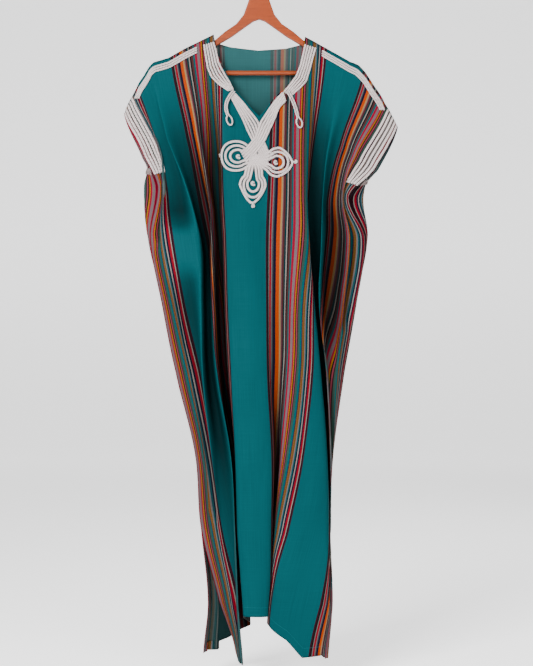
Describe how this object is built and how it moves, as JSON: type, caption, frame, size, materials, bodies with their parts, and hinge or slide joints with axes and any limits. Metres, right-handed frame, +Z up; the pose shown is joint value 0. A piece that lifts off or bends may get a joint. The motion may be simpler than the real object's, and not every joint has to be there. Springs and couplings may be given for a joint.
{
  "type": "striped house dress on a wooden clothes hanger",
  "caption": "Long loose cotton house dress with short open sleeves, woven stripes and sewn cord braid, hung in folds on a wooden hanger with a trouser bar and a wire hook.",
  "frame": {"origin": "the inside top of the hanger's hook, where a rod carries it", "axes": "+Z up, along the length of the dress, -Y towards the front of the dress, +X towards the viewer's right"},
  "size_m": [0.596, 0.166, 1.526],
  "materials": {
    "striped_cloth": "plain woven cotton with lengthwise stripes",
    "white_braid": "twisted cord sewn down in rows",
    "varnished_wood": "satin varnish",
    "steel_wire": "bright wire"
  },
  "bodies": {
    "root": {"front_panel": "striped_cloth", "back_panel": "striped_cloth", "hem_turn_middle": "striped_cloth", "hem_turn_right": "striped_cloth", "hem_turn_back_left": "striped_cloth", "collar_left": "white_braid", "collar_right": "white_braid", "slit_braid_left": "white_braid", "slit_braid_right": "white_braid", "cuff_braid_left_front": "white_braid", "cuff_braid_left_back": "white_braid", "cuff_braid_right_front": "white_braid", "cuff_braid_right_back": "white_braid", "shoulder_braid_left": "white_braid", "shoulder_braid_right": "white_braid", "motif_loop_left": "white_braid", "motif_loop_right": "white_braid", "motif_loop_low": "white_braid", "motif_bead_left": "white_braid", "motif_bead_right": "white_braid", "motif_bead_low": "white_braid", "tie_left": "white_braid", "tie_right": "white_braid", "hanger_body": "varnished_wood", "hanger_bar": "varnished_wood", "hanger_hook": "steel_wire"}
  },
  "joints": []
}
